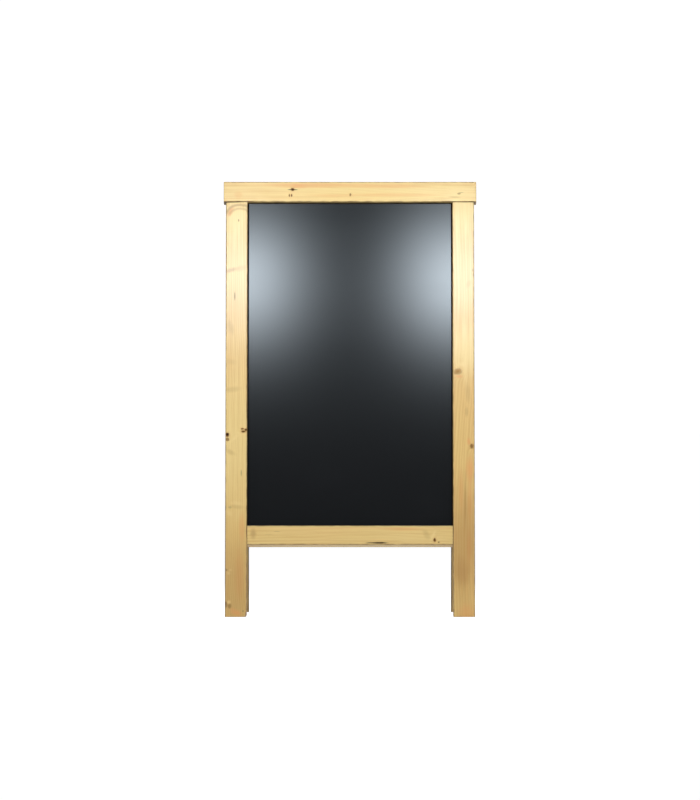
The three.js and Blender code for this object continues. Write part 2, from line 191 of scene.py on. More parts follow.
def boolean(bm, cutter, operation="DIFFERENCE"):
    """bm cut by or joined to cutter with an exact boolean."""
    objects = []
    for part in (bm, cutter):
        bmesh.ops.recalc_face_normals(part, faces=part.faces)
        objects.append(add_object("part", as_mesh(part)))
    base, tool = objects
    modifier = base.modifiers.new("cut", "BOOLEAN")
    modifier.operation = operation
    modifier.solver = "EXACT"
    modifier.object = tool
    worked = base.evaluated_get(bpy.context.evaluated_depsgraph_get())
    result = bmesh.new()
    result.from_mesh(worked.to_mesh())
    worked.to_mesh_clear()
    for used in objects:
        holder = used.data
        bpy.data.objects.remove(used)
        bpy.data.meshes.remove(holder)
    return result


# ---------------- material helpers
class Value:
    """The output of a material node, so that a recipe reads like a formula."""

    def __init__(self, recipe, socket):
        self.recipe = recipe
        self.socket = socket

    def __add__(self, other):
        return self.recipe.math("ADD", self, other)

    def __mul__(self, other):
        return self.recipe.math("MULTIPLY", self, other)

    def __truediv__(self, other):
        return self.recipe.math("DIVIDE", self, other)

    def __sub__(self, other):
        return self.recipe.math("SUBTRACT", self, other)

    def __rsub__(self, other):
        return self.recipe.math("SUBTRACT", other, self)

    __radd__ = __add__
    __rmul__ = __mul__


class Recipe:
    """A material's, light's or world's nodes under construction. Most calls add one node and give
    its output."""

    def __init__(self, owner, shader="Principled BSDF"):
        owner.use_nodes = True
        self.owner = owner
        self.tree = owner.node_tree
        self.shader = self.tree.nodes[shader]

    def node(self, kind, inputs=(), **settings):
        made = self.tree.nodes.new(kind)
        for key, value in settings.items():
            setattr(made, key, value)
        for key, value in dict(inputs).items():
            self.feed(made.inputs[key], value)
        return made

    def feed(self, socket, value):
        if isinstance(value, Value):
            self.tree.links.new(value.socket, socket)
        elif value is not None:
            socket.default_value = value

    def value(self, output, kind, inputs=(), **settings):
        return Value(self, self.node(kind, inputs, **settings).outputs[output])

    def math(self, operation, a, b=None, c=None):
        return self.value(0, "ShaderNodeMath", {0: a, 1: b, 2: c}, operation=operation)

    def split(self, vector):
        made = self.node("ShaderNodeSeparateXYZ", {0: vector})
        return [Value(self, part) for part in made.outputs]

    def board(self):
        """A point's own place on its board or panel."""
        return self.split(self.value("Vector", "ShaderNodeAttribute", attribute_name="board"))

    def object_place(self):
        """A point's place on its own object."""
        return self.split(self.value("Object", "ShaderNodeTexCoord"))

    def vector(self, x, y, z):
        return self.value(0, "ShaderNodeCombineXYZ", {0: x, 1: y, 2: z})

    def noise(self, vector, scale=1.0, detail=2.0, roughness=0.5):
        inputs = {"Vector": vector, "Scale": scale, "Detail": detail, "Roughness": roughness}
        return self.value("Fac", "ShaderNodeTexNoise", inputs)

    def smooth(self, value, start, end):
        """0 before start and 1 after end, eased between. start may be above end."""
        inputs = {"Value": value, "From Min": start, "From Max": end}
        eased = "SMOOTHSTEP"
        return self.value("Result", "ShaderNodeMapRange", inputs, interpolation_type=eased)

    def span(self, value, low, high):
        """A 0 to 1 value spread from low to high."""
        inputs = {"Value": value, "To Min": low, "To Max": high}
        return self.value("Result", "ShaderNodeMapRange", inputs)

    def mix(self, factor, a, b):
        """Colour a where factor is 0, and colour b where it is 1."""
        return self.value(2, "ShaderNodeMix", {0: factor, 6: a, 7: b}, data_type="RGBA")

    def larger(self, a, b):
        return self.math("MAXIMUM", a, b)

    def length(self, x, y):
        return self.math("SQRT", x * x + y * y)

    def bump(self, height, distance, strength=1.0):
        inputs = {"Height": height, "Distance": distance, "Strength": strength}
        return self.value("Normal", "ShaderNodeBump", inputs)

    def seen_or_light(self, light, seen):
        """One strength for what the camera sees, and another for the light that is given."""
        return self.span(self.value("Is Camera Ray", "ShaderNodeLightPath"), light, seen)

    def shade(self, **inputs):
        """Sets or links the shader's sockets; an underscore in a name is a space."""
        for key, value in inputs.items():
            self.feed(self.shader.inputs[key.replace("_", " ")], value)
        return self.owner


def new_recipe(name):
    return Recipe(bpy.data.materials.new(name))


def colour(red, green, blue):
    """A linear colour from 0 to 255 screen values."""
    linear = [((c / 255 + 0.055) / 1.055) ** 2.4 if c > 10 else c / 255 / 12.92
              for c in (red, green, blue)]
    return (*linear, 1.0)


# ---------------- pine
# Places on a board are in millimetres: along its grain from the top or left end, and across its
# face from the upper or left edge, as its own frame is seen from the writing side.
Knot = namedtuple("Knot", "along across length width dark ring")
Streak = namedtuple("Streak", "along across length width dark")
# A soft patch of another tone; some patches are painted shade. lean is how far it slants along the
# board per step across it.
Patch = namedtuple("Patch", "along across length width tone strength lean", defaults=[0])
# A band of grain that arches over the upper end of a knot; reach and spread are its half axes.
Arch = namedtuple("Arch", "along across reach spread band tone strength")
# Where the heart of the log lies from the board's corner, how far it leans per step along the
# board, and how wide its rings are.
Log = namedtuple("Log", "across deep lean_across lean_deep ring_width")
# A painted shade line, dark where shade falls in a joint, under the header's front edge or down a
# rear leg's inner edge: across the board at a place along it, or along it at a place across (the
# other is
# None). It fades in from start to end along the line.
ShadeLine = namedtuple("ShadeLine", "along across width dark start end")

EARLY_WOOD = colour(232, 200, 129)
LATE_WOOD = colour(208, 160, 86)
HEART_BLUSH = colour(228, 170, 104)
FIBRE_TAN = colour(196, 150, 84)
DUCT_BROWN = colour(138, 92, 48)
KNOT_GLOW = colour(214, 150, 78)
KNOT_BROWN = colour(130, 84, 26)
KNOT_DARK = colour(50, 30, 8)
# Dark resin, and also the colour of the painted shade lines.
RESIN_AND_SHADE_DARK = colour(40, 20, 5)
WORN_AND_SHADED_EDGE = colour(132, 102, 62)
LATE_END_GRAIN = colour(120, 78, 40)
RUST = colour(198, 142, 60)
END_GRAIN = colour(176, 128, 74)
PEACH = colour(232, 168, 104)
PALE = colour(243, 216, 148)
CREAM = colour(250, 228, 160)
TAN = colour(186, 148, 88)
SHADE = colour(170, 120, 66)
# EDGE_SHADE is painted shade on a leg's edges.
EDGE_SHADE = colour(92, 72, 48)


class Board:
    """The places on one board in its pine recipe, in metres, and the patterns laid out on them."""

    def __init__(self, make, width, depth, seed):
        self.make = make
        self.width = width
        self.depth = depth
        self.shift = seed * 3.7
        self.along, self.across, self.deep = make.board()
        self.wobble = self.grain(11, 34, 3)
        self.ragged = self.grain(150, 300, 2) - 0.5
        self.streaky = self.grain(2.4, 150, 3)
        self.scuffs = self.grain(38, 60, 3)

    def grain(self, lengthwise, crosswise, detail, start=0.0):
        """Noise with so many waves a metre along the grain and across it."""
        place = self.make.vector(
            self.along * lengthwise + (self.shift + start),
            self.across * crosswise,
            self.deep * crosswise,
        )
        return self.make.noise(place, detail=detail)

    def by_value(self, value, detail):
        """Noise that changes with one value only."""
        return self.make.noise(self.make.vector(value + self.shift, 0.0, 0.0), detail=detail)

    def ellipse(self, mark, half_length, half_width, lean=0.0):
        """0 at a mark's middle and 1 on the ellipse with these half axes, in millimetres."""
        off = self.across - mark.across * MM
        slanted = self.along - mark.along * MM - off * lean
        return self.make.length(slanted / (half_length * MM), off / (half_width * MM))

    def sinking(self, mark):
        """Rises with depth for a mark at the board's edge, which ends inside the timber. A mark
        further in goes right through."""
        room = min(mark.across * MM, self.width - mark.across * MM)
        if room > mark.width * MM:
            return 0.0
        sink = self.deep / (mark.width * MM * 1.5)
        return sink * sink

    def spot(self, mark, lean=0.0):
        return self.ellipse(mark, mark.length / 2, mark.width / 2, lean) + self.sinking(mark)


Rings = namedtuple("Rings", "late tone")
Knots = namedtuple("Knots", "body heart rim near")


def growth_rings(board, log, knots):
    """The dark late wood of each ring, how dark each ring is, and the knots that the rings bend
    around."""
    make = board.make
    wander = board.grain(1.4, 2.5, 1)
    drift = board.grain(1.1, 2.5, 1, 40)
    across = board.across - log.across * MM - board.along * log.lean_across + (wander - 0.5) * 0.05
    deep = board.deep - log.deep * MM - board.along * log.lean_deep + (drift - 0.5) * 0.05
    radius = make.length(across, deep) + (board.wobble - 0.5) * 0.0035
    seen = Knots(0.0, 0.0, 0.0, 0.0)
    for knot in knots:
        q = board.spot(knot) + board.ragged * 0.9
        bulge = make.math("EXPONENT", q * q * -0.3)
        radius = radius - bulge * (knot.width * MM * 0.6)
        one = Knots(
            body=make.smooth(q, 1.12, 0.75) * knot.dark,
            heart=make.smooth(q, 0.8, 0.15) * (knot.dark ** 2),
            rim=(make.smooth(q, 1.25, 1.0) - make.smooth(q, 0.95, 0.7)) * knot.ring,
            near=bulge * knot.dark,
        )
        seen = Knots(*[make.larger(part, before) for part, before in zip(one, seen)])
    turns = radius / (log.ring_width * MM) + board.by_value(radius * 60, 1) * 1.6
    ring = make.math("FRACT", turns)
    late = make.smooth(ring, 0.30, 0.93) * make.smooth(ring, 1.0, 0.965)
    tone = make.span(board.by_value(make.math("FLOOR", turns) * 0.77, 0), 0.3, 0.85)
    return Rings(late, tone), seen


def toned(board, wood, patches, arches):
    """Lays the soft patches and the arching bands of grain over the wood."""
    make = board.make
    unrest = (board.wobble - 0.5) * 0.6 + (board.streaky - 0.5) * 0.9
    for patch in patches:
        q = board.spot(patch, patch.lean) + unrest
        wood = make.mix(make.smooth(q, 1.25, 0.2) * patch.strength, wood, patch.tone)
    for arch in arches:
        q = board.ellipse(arch, arch.reach, arch.spread) + (board.wobble - 0.5) * 0.3
        band = make.smooth(make.math("ABSOLUTE", q - 1.0), arch.band, 0.0)
        fade_end = (arch.along - arch.reach * 0.5) * MM
        upper = make.smooth(board.along, arch.along * MM, fade_end)
        wood = make.mix(band * upper * arch.strength, wood, arch.tone)
    return wood


def shade_line_darkness(board, line):
    """The darkness of one painted shade line."""
    make = board.make
    if line.across is None:
        to_line, at, run = board.along, line.along, board.across
    else:
        to_line, at, run = board.across, line.across, board.along
    distance = make.math("ABSOLUTE", to_line - at * MM) + (board.scuffs - 0.5) * 0.0012
    near = make.smooth(distance, line.width * MM, 0.0)
    return near * make.smooth(run, line.start * MM, line.end * MM) * line.dark


def pine(name, width, depth, seed, log, knots=(), streaks=(), arches=(), patches=(), shade_lines=(),
         blush=0.25):
    """Varnished pine for one board, from its "board" attribute: metres along, across and deep."""
    make = new_recipe(name)
    board = Board(make, width, depth, seed)
    rings, knot = growth_rings(board, log, knots)

    # Fibres, pores and broad tone along the board.
    fibre = board.grain(14, 1500, 3)
    cloud = board.grain(3.1, 9, 2)
    duct = make.smooth(board.grain(90, 2300, 1), 0.70, 0.80)
    wood = make.mix(rings.late * rings.tone * 0.6, EARLY_WOOD, LATE_WOOD)
    wood = make.mix(make.smooth(board.streaky, 0.42, 0.72) * 0.3, wood, LATE_WOOD)
    wood = make.mix(make.smooth(cloud, 0.38, 0.72) * blush, wood, HEART_BLUSH)
    wood = toned(board, wood, patches, arches)
    wood = make.mix(make.smooth(fibre, 0.45, 0.75) * 0.2, wood, FIBRE_TAN)
    wood = make.mix(duct * 0.4, wood, DUCT_BROWN)

    # sunk is 1 where the timber is dark and open, and on the painted shade lines.
    sunk = 0.0
    if knots:
        wood = make.mix(make.smooth(knot.near, 0.15, 0.9) * 0.4, wood, KNOT_GLOW)
        wood = make.mix(knot.body, wood, KNOT_BROWN)
        wood = make.mix(knot.heart * 0.7, wood, KNOT_DARK)
        wood = make.mix(knot.rim * 0.7, wood, KNOT_DARK)
        sunk = make.larger(knot.body, knot.rim)
    for streak in streaks:
        mark = make.smooth(board.spot(streak) + board.ragged * 0.35, 1.1, 0.4) * streak.dark
        wood = make.mix(mark, wood, RESIN_AND_SHADE_DARK)
        sunk = make.larger(mark, sunk)

    # End grain drinks the varnish; handled arrises are a little duller, and darker from wear and
    # from painted shade along the rounded edges.
    end = make.value("Fac", "ShaderNodeAttribute", attribute_name="end_grain")
    wood = make.mix(end * 0.75, wood, make.mix(rings.late * 0.8, END_GRAIN, LATE_END_GRAIN))
    from_arris = make.length(
        make.math("MINIMUM", board.across, width - board.across),
        make.math("MINIMUM", board.deep, depth - board.deep),
    )
    worn_and_shaded = make.smooth(from_arris + (board.scuffs - 0.5) * 0.004, 0.0032, 0.0004)
    wood = make.mix(worn_and_shaded * 0.85, wood, WORN_AND_SHADED_EDGE)
    # Painted shade: dark lines where shade falls in the joints, under the header and down the rear
    # legs' inner edges.
    for line in shade_lines:
        mark = shade_line_darkness(board, line)
        wood = make.mix(mark, wood, RESIN_AND_SHADE_DARK)
        sunk = make.larger(mark, sunk)

    # The varnish film is thin where the timber is open, on end grain, and on the painted shade
    # lines.
    film = (1.0 - sunk) * (1.0 - end * 0.6)
    grain_height = rings.late * 0.55 + fibre * 0.35 - duct * 0.6 - sunk * 0.6
    return make.shade(
        Base_Color=wood,
        Roughness=make.span(board.grain(7, 30, 3), 0.44, 0.56) + worn_and_shaded * 0.1 + end * 0.12,
        Specular_IOR_Level=0.16,
        Normal=make.bump(grain_height, 0.00012, 0.55),
        Coat_Weight=film * 0.7,
        Coat_Roughness=0.22,
    )


def beech(name):
    """Turned dowel: short dark flecks along a pale pinkish wood."""
    make = new_recipe(name)
    x, y, z = make.object_place()
    fleck = make.smooth(make.noise(make.vector(x * 900, y * 900, z * 160), detail=2), 0.58, 0.7)
    tone = make.noise(make.vector(x * 60, y * 60, z * 60), detail=3)
    base = make.mix(tone, colour(206, 160, 112), colour(184, 134, 88))
    return make.shade(
        Base_Color=make.mix(fleck * 0.6, base, colour(120, 78, 44)),
        Roughness=make.span(tone, 0.55, 0.75),
        Normal=make.bump(fleck, 0.0001, 0.4),
    )


# ---------------- boards
ARRIS = 2.4 * MM
ARRIS_UNREST = 0.28  # how much an arris's radius wanders, as a share of it
ARRIS_STEPS = 5
FACE_STEPS = 6
EDGE_STEPS = 4
END_ROUND = ((0.0, 1.1), (0.35, 0.42), (1.1, 0.0))  # depth from the end, inset, in mm
RING_PITCH = 14 * MM
FLAT_MARGIN = 0.5 * MM  # a narrow strip beside each arris, so that the wide faces shade flat
DING_REACH = 9 * MM
CUT_SLACK = 0.3 * MM  # by how much a groove or hole is larger than what sits in it
END_FACING = 0.25  # a face whose normal leans this far along the grain shows end grain
CHIP_WIDTH, CHIP_HEIGHT, CHIP_REACH = 5.5 * MM, 17 * MM, 40 * MM
CHIP_SKEW = math.radians(5)  # the chip is a little wider at the front of the leg
CHIP_MIDDLE = -20 * MM  # the y of the cut's middle, about half way through the leg
CHIP_ROUGHNESS = 0.7 * MM

# A dent in one of a board's four arrises; along and size in millimetres.
Ding = namedtuple("Ding", "along corner size")


def section(half_a, half_b, radii, inset):
    """Points round a rectangle, its four corners rounded by radii, each side divided evenly."""
    corners = []
    for index, (sign_a, sign_b) in enumerate([(1, 1), (-1, 1), (-1, -1), (1, -1)]):
        radius, start = radii[index], QUARTER * index
        centre = (sign_a * (half_a - radius), sign_b * (half_b - radius))
        corners.append(arc(*centre, radius - inset, start, start + QUARTER, ARRIS_STEPS))
    points = []
    for index, corner in enumerate(corners):
        points += corner
        last, following = corner[-1], corners[(index + 1) % 4][0]
        margin = FLAT_MARGIN / math.dist(last, following)
        steps = FACE_STEPS if index % 2 == 0 else EDGE_STEPS
        for step in range(steps + 1):
            share = margin + (1 - 2 * margin) * step / steps
            points.append([last[i] + (following[i] - last[i]) * share for i in range(2)])
    return points


def stations(length):
    """(distance, inset) pairs along a board: both ends rounded, and even steps between them."""
    start = [(distance * MM, inset * MM) for distance, inset in END_ROUND]
    flat = start[-1][0] + FLAT_MARGIN
    count = max(4, round(length / RING_PITCH))
    middle = [(flat + (length - 2 * flat) * step / count, 0.0) for step in range(count + 1)]
    return start + middle + [(length - distance, inset) for distance, inset in reversed(start)]


def arris_radius(distance, corner, seed, dings):
    at = Vector((distance * 9, corner * 5.1 + seed, seed * 2.3))
    radius = ARRIS * (1 + ARRIS_UNREST * noise.noise(at))
    for ding in dings:
        if ding.corner == corner:
            away = (distance - ding.along * MM) / DING_REACH
            radius += ding.size * MM * math.exp(-away * away)
    return radius


def board_mesh(place, length, half_a, half_b, seed, dings):
    """A planed board. place(a, b, t) gives the point at section place (a, b) and share t of the
    way along, so ends may be cut at any slant."""
    bm = bmesh.new()
    rings = []
    for distance, inset in stations(length):
        radii = [arris_radius(distance, corner, seed, dings) for corner in range(4)]
        points = section(half_a, half_b, radii, inset)
        rings.append([bm.verts.new(place(a, b, distance / length)) for a, b in points])
    for lower, upper in zip(rings, rings[1:]):
        for i in range(len(lower)):
            j = (i + 1) % len(lower)
            bm.faces.new((lower[i], lower[j], upper[j], upper[i]))
    bm.faces.new(rings[0])
    bm.faces.new(list(reversed(rings[-1])))
    return bm


def write_places(piece, frame_name, origin=Vector(), axes=Matrix.Identity(3)):
    """Writes each point's own place, from origin and along axes, for the materials to read."""
    back = TO_ROW[frame_name].inverted()
    places = piece.data.attributes.new("board", "FLOAT_VECTOR", "POINT")
    for index, vertex in enumerate(piece.data.vertices):
        places.data[index].vector = axes @ (back @ vertex.co - origin)


def mark_end_grain(piece, frame_name, along):
    turn = TO_ROW[frame_name].inverted().to_3x3()
    end_grain = piece.data.attributes.new("end_grain", "FLOAT", "CORNER")
    for polygon in piece.data.polygons:
        at_end = abs((turn @ polygon.normal).dot(along)) > END_FACING
        for loop in polygon.loop_indices:
            end_grain.data[loop].value = float(at_end)


def panel_slot(frame_name):
    """The groove that a chalk panel sits in, a little larger than the panel."""
    low, high = local_box(f"{frame_name}_chalk_panel", frame_name)
    slack = Vector([CUT_SLACK] * 3)
    return box_mesh(low - slack, high + slack)


def dowel_cutter(frame_name, sides):
    """Round holes for a frame's dowels, each a little larger than its dowel."""
    cutters = []
    for side in sides:
        for label in ("header_inner", "header_outer", "rail_upper", "rail_lower"):
            low, high = local_box(f"{frame_name}_{side}_dowel_{label}", frame_name)
            size = high - low
            half = max(size.x, size.z) / 2 + CUT_SLACK
            hole = rod_mesh(size.y / 2 + CUT_SLACK, -half, half, 24)
            turn = Matrix() if size.z > size.x else Matrix.Rotation(QUARTER, 4, "Y")
            cutters.append(moved(hole, turn, Matrix.Translation((low + high) / 2)))
    return joined(*cutters)


def make_board(frame_name, kind, node, place, along, across, sides, chips=()):
    """One board, cut for its panel and its dowels. place is as in board_mesh; along and across are
    the board's own directions in its frame's axes, from its top left front corner."""
    along, across = Vector(along), Vector(across)
    low, high = local_box(node, frame_name)
    size = high - low
    length, width = abs(size.dot(along)), abs(size.dot(across))
    looks, seed = BOARDS[frame_name, kind]
    dings = DINGS.get((frame_name, kind), ())
    bm = board_mesh(place, length, width / 2, size.y / 2, seed, dings)
    for cutter in (panel_slot(frame_name), dowel_cutter(frame_name, sides), *chips):
        bm = boolean(bm, cutter)
    material = pine(f"pine_{frame_name}_{kind}", width, size.y, seed, **looks)
    piece = frame_piece(frame_name, node, "timber", bm, material)
    origin = Vector((low.x, low.y, high.z))
    write_places(piece, frame_name, origin, Matrix((along, across, (0, 1, 0))))
    mark_end_grain(piece, frame_name, along)


def make_rail(frame_name, kind):
    """A header rail or bottom rail: the grain runs along x."""
    node = f"{frame_name}_{kind}"
    low, high = local_box(node, frame_name)
    centre = (low + high) / 2

    def place(a, b, t):
        return Vector((low.x + (high.x - low.x) * t, centre.y + b, centre.z + a))

    make_board(frame_name, kind, node, place, (1, 0, 0), (0, 0, -1), SIDES)


def ground_z(y):
    """Where the ground cuts a frame, along its own z, at its own y."""
    return (-AXIS.z + y * math.sin(LEAN)) / math.cos(LEAN)


def chip_cutter(x_inner, sign, z_low):
    """A splintered wedge that takes the inner bottom corner off a leg."""
    bm = bmesh.new()
    bmesh.ops.create_grid(bm, x_segments=14, y_segments=24, size=0.5)
    long = math.hypot(CHIP_WIDTH, CHIP_HEIGHT) * 1.8
    for vertex in bm.verts:
        s, t = vertex.co.x, vertex.co.y
        rough = noise.fractal(Vector((s * 5, t * 9, 3.3)), 1.0, 2.0, 3) * CHIP_ROUGHNESS
        vertex.co = Vector((s * long, t * 2 * CHIP_REACH, rough))
    solid = bmesh.ops.extrude_face_region(bm, geom=bm.faces[:])
    for item in solid["geom"]:
        if isinstance(item, bmesh.types.BMVert):
            item.co.z = -20 * MM
    slope = math.atan2(CHIP_HEIGHT, CHIP_WIDTH)
    moved(bm, Matrix.Rotation(-slope, 4, "Y"), Matrix.Rotation(-CHIP_SKEW, 4, "Z"))
    if sign > 0:
        moved(bm, Matrix.Scale(-1, 4, Vector((1, 0, 0))))
    centre = Vector((x_inner + sign * CHIP_WIDTH / 2, CHIP_MIDDLE, z_low + CHIP_HEIGHT / 2))
    return moved(bm, Matrix.Translation(centre))


def make_stile(frame_name, side):
    """A stile that runs on as a leg: the grain runs down from the header, and the foot lies flat
    on the ground."""
    node = f"{frame_name}_{side}_stile"
    low, high = local_box(node, frame_name)
    centre = (low + high) / 2
    sign = side_sign(side, frame_name)
    opening = OPEN_JOINTS.get((frame_name, side), CLOSED_JOINT)

    def place(a, b, t):
        x, y = centre.x + a, centre.y + b
        outward = sign * a / (high.x - low.x) + 0.5
        top = high.z - opening * outward ** 2
        return Vector((x, y, top + (ground_z(y) - top) * t))

    chips = []
    if (frame_name, side) == CHIPPED_LEG:
        x_inner = low.x if sign > 0 else high.x
        chips.append(chip_cutter(x_inner, sign, ground_z(low.y)))
    make_board(frame_name, side, node, place, (0, 0, -1), (1, 0, 0), [side], chips)


FRONT_HEADER = dict(
    log=Log(-30, 95, 0.012, -0.02, 4.2),
    knots=[
        Knot(191, 22, 9, 8.5, 1.0, 0.6),
        Knot(182, 39, 4, 8, 0.85, 0.3),
        Knot(188, 39, 4, 8, 0.9, 0.3),
        Knot(351, 37, 5, 8, 0.7, 0.3),
        Knot(652, 34, 9, 5, 0.45, 0.2),
    ],
    streaks=[Streak(191, 22.5, 32, 4.4, 0.85), Streak(658, 31, 18, 3, 0.35)],
    patches=[
        Patch(350, 28, 1100, 160, CREAM, 0.6),
        Patch(250, 10, 330, 15, PEACH, 0.55),
        Patch(470, 12, 260, 14, PEACH, 0.45),
        Patch(208, 12, 44, 14, PEACH, 0.5),
        Patch(470, 38, 260, 12, PEACH, 0.35),
        Patch(300, 40, 160, 14, PEACH, 0.3),
        Patch(40, 38, 26, 26, PEACH, 0.3),
        Patch(660, 28, 120, 60, PALE, 0.45),
        Patch(640, 44, 40, 5, TAN, 0.4, 1.5),
    ],
    # Painted shade in the joints with the stiles and under the header's front edge, over the
    # panel.
    shade_lines=[
        ShadeLine(None, 57, 2.0, 0.7, 70, 3),
        ShadeLine(None, 57, 1.6, 0.4, 620, 640),
        ShadeLine(None, 57.4, 1.0, 0.7, -20, -10),
    ],
    blush=0.3,
)
FRONT_LEFT = dict(
    log=Log(110, 60, 0.03, 0.01, 4.6),
    knots=[
        Knot(53, 35, 7, 3.4, 0.5, 0.2),
        Knot(649, 50, 11, 15, 0.25, 0.1),
        Knot(645, 47, 5, 9, 0.9, 0),
        Knot(653, 49.5, 6, 12, 1.0, 0),
        Knot(648, 57, 7, 9, 1.0, 0),
        Knot(662, 5.5, 11, 9, 1.0, 0.9),
        Knot(675, 6, 9, 9, 0.65, 0.9),
        Knot(1136, 0, 9, 7, 0.8, 0.3),
    ],
    streaks=[
        Streak(269, 25, 32, 3.4, 0.7),
        Streak(661, 5.5, 9, 8, 1.0),
        Streak(770, 44, 22, 3.0, 0.5),
        Streak(867, 1, 18, 5, 0.7),
        Streak(867, 13, 8, 12, 0.22),
        Streak(1043, 4, 8, 8, 0.4),
        Streak(1140, 3, 24, 9, 0.45),
        Streak(1158, 50, 6, 5, 0.4),
    ],
    arches=[
        Arch(42, 37, 34, 36, 0.20, TAN, 0.75),
        Arch(44, 39, 25, 30, 0.24, TAN, 0.5),
    ],
    patches=[
        Patch(20, 30, 210, 110, CREAM, 0.6),
        Patch(300, 30, 160, 110, TAN, 0.15),
        Patch(690, 30, 480, 110, CREAM, 0.5),
        Patch(28, 12, 26, 22, PEACH, 0.85, -0.9),
        Patch(195, 14, 14, 44, TAN, 0.75, -0.25),
        Patch(190, 40, 18, 44, SHADE, 0.2, -0.2),
        Patch(356, 12, 44, 24, TAN, 0.42, 1.0),
        Patch(455, 12, 22, 36, TAN, 0.22, 0.1),
        Patch(534, 18, 18, 52, TAN, 0.28, -0.1),
        Patch(671, 26, 14, 40, PALE, 0.7, -0.8),
        Patch(656, 36, 10, 14, PALE, 0.7),
        Patch(712, 16, 18, 26, TAN, 0.3, 0.4),
        Patch(856, 32, 16, 40, PALE, 0.45, 0.1),
        Patch(882, 10, 18, 22, PALE, 0.45, 0.4),
        Patch(865, 30, 14, 44, TAN, 0.25, 0.1),
        Patch(925, 46, 90, 18, PEACH, 0.45),
        Patch(1052, 10, 12, 12, PALE, 0.8),
        Patch(1043, 15, 8, 10, PALE, 0.7),
        Patch(1060, 40, 160, 30, PEACH, 0.4),
        # Painted shade: the lower leg darker towards the floor, where less light falls.
        Patch(1100, 30, 320, 110, SHADE, 0.32),
        Patch(1144, 12, 16, 12, KNOT_BROWN, 0.5),
        Patch(1133, 10, 12, 12, PALE, 0.6),
        # Painted shade: a dark strip down the lower leg's outer edge, and the dark facet above the
        # chip.
        Patch(1000, 0, 420, 7, EDGE_SHADE, 0.5),
        Patch(1179, 57, 7, 10, EDGE_SHADE, 0.95, -3),
        Patch(1163, 32, 24, 36, PEACH, 0.75, 0.3),
    ],
    # Painted shade at the joint under the header.
    shade_lines=[ShadeLine(0, None, 3.6, 0.95, 66, 0)],
    blush=0.16,
)
FRONT_RIGHT = dict(
    log=Log(-70, 120, 0.02, 0.02, 4.4),
    knots=[
        Knot(483, 14, 17, 22, 0.38, 0.18),
        Knot(488, 8, 8, 9, 0.3, 0.1),
        Knot(694, 52, 14, 10, 0.7, 0.35),
    ],
    streaks=[Streak(195, 56, 12, 4, 0.35), Streak(209, 57, 12, 3, 0.35)],
    patches=[
        Patch(235, 44, 26, 16, PEACH, 0.5, -0.6),
        Patch(20, 30, 210, 110, CREAM, 0.6),
        Patch(425, 30, 170, 110, CREAM, 0.6),
        Patch(483, 14, 18, 25, RUST, 0.75, -0.2),
        Patch(463, 26, 20, 30, PALE, 0.8),
        Patch(497, 18, 12, 24, PEACH, 0.7),
        Patch(681, 44, 26, 12, PEACH, 0.7),
        Patch(545, 42, 60, 16, TAN, 0.3, 0.4),
        Patch(597, 38, 30, 12, TAN, 0.35),
        Patch(760, 46, 90, 22, PEACH, 0.7),
        Patch(830, 22, 140, 16, PEACH, 0.45),
        Patch(850, 33, 160, 9, TAN, 0.5),
        Patch(850, 46, 180, 14, PEACH, 0.5),
        Patch(980, 44, 130, 16, PEACH, 0.5),
        # Painted shade: the lower leg darker towards the floor, where less light falls.
        Patch(1050, 24, 90, 60, SHADE, 0.35),
        Patch(960, 30, 360, 120, SHADE, 0.45),
        Patch(1165, 36, 60, 50, PEACH, 0.55),
    ],
    # Painted shade at the joint under the header.
    shade_lines=[ShadeLine(0, None, 2.2, 0.8, -20, -10)],
    blush=0.16,
)
FRONT_BOTTOM = dict(
    log=Log(-60, 150, 0.006, 0.01, 4.4),
    knots=[Knot(516, 41, 7, 11, 1.0, 0.4), Knot(527, 47, 5, 4, 0.7, 0.2)],
    streaks=[
        Streak(365, 49.0, 52, 5.5, 1.0),
        Streak(345, 49.0, 44, 3.6, 0.9),
        Streak(82, 17, 22, 2.2, 0.25),
        Streak(58, 26, 30, 1.8, 0.15),
    ],
    patches=[
        Patch(290, 27, 900, 160, CREAM, 0.3),
        Patch(17, 23, 20, 30, SHADE, 0.45),
        Patch(493, 25, 22, 30, TAN, 0.4, 0.4),
        Patch(512, 28, 12, 30, PALE, 0.8, -0.4),
        Patch(430, 10, 120, 14, PEACH, 0.4),
        Patch(460, 34, 220, 50, PALE, 0.3),
    ],
    blush=0.2,
)
REAR_HEADER = dict(
    log=Log(80, 70, 0.02, 0.03, 4.0),
    knots=[Knot(508, 30, 12, 9, 0.9, 0.8), Knot(128, 14, 5, 4, 0.7, 0.5)],
    streaks=[Streak(330, 20, 34, 1.8, 0.4)],
    blush=0.3,
)
REAR_LEFT = dict(
    log=Log(-60, 90, -0.02, 0.01, 4.5),
    knots=[Knot(330, 22, 14, 11, 0.8, 0.7), Knot(905, 44, 9, 8, 0.9, 0.8)],
    streaks=[Streak(560, 30, 28, 1.8, 0.5)],
    patches=[Patch(640, 24, 160, 16, PEACH, 0.4)],
    # Painted shade down the leg's inner edge, below the rail.
    shade_lines=[ShadeLine(None, 0, 9, 0.5, 850, 950)],
    blush=0.3,
)
REAR_RIGHT = dict(
    log=Log(120, 80, 0.02, -0.02, 4.3),
    knots=[Knot(215, 40, 11, 8, 0.9, 0.8), Knot(742, 14, 16, 13, 0.5, 0.4)],
    streaks=[Streak(1010, 36, 20, 1.6, 0.5)],
    patches=[Patch(420, 30, 140, 18, PEACH, 0.4)],
    # Painted shade down the leg's inner edge, below the rail.
    shade_lines=[ShadeLine(None, 60, 9, 0.5, 850, 950)],
    blush=0.24,
)
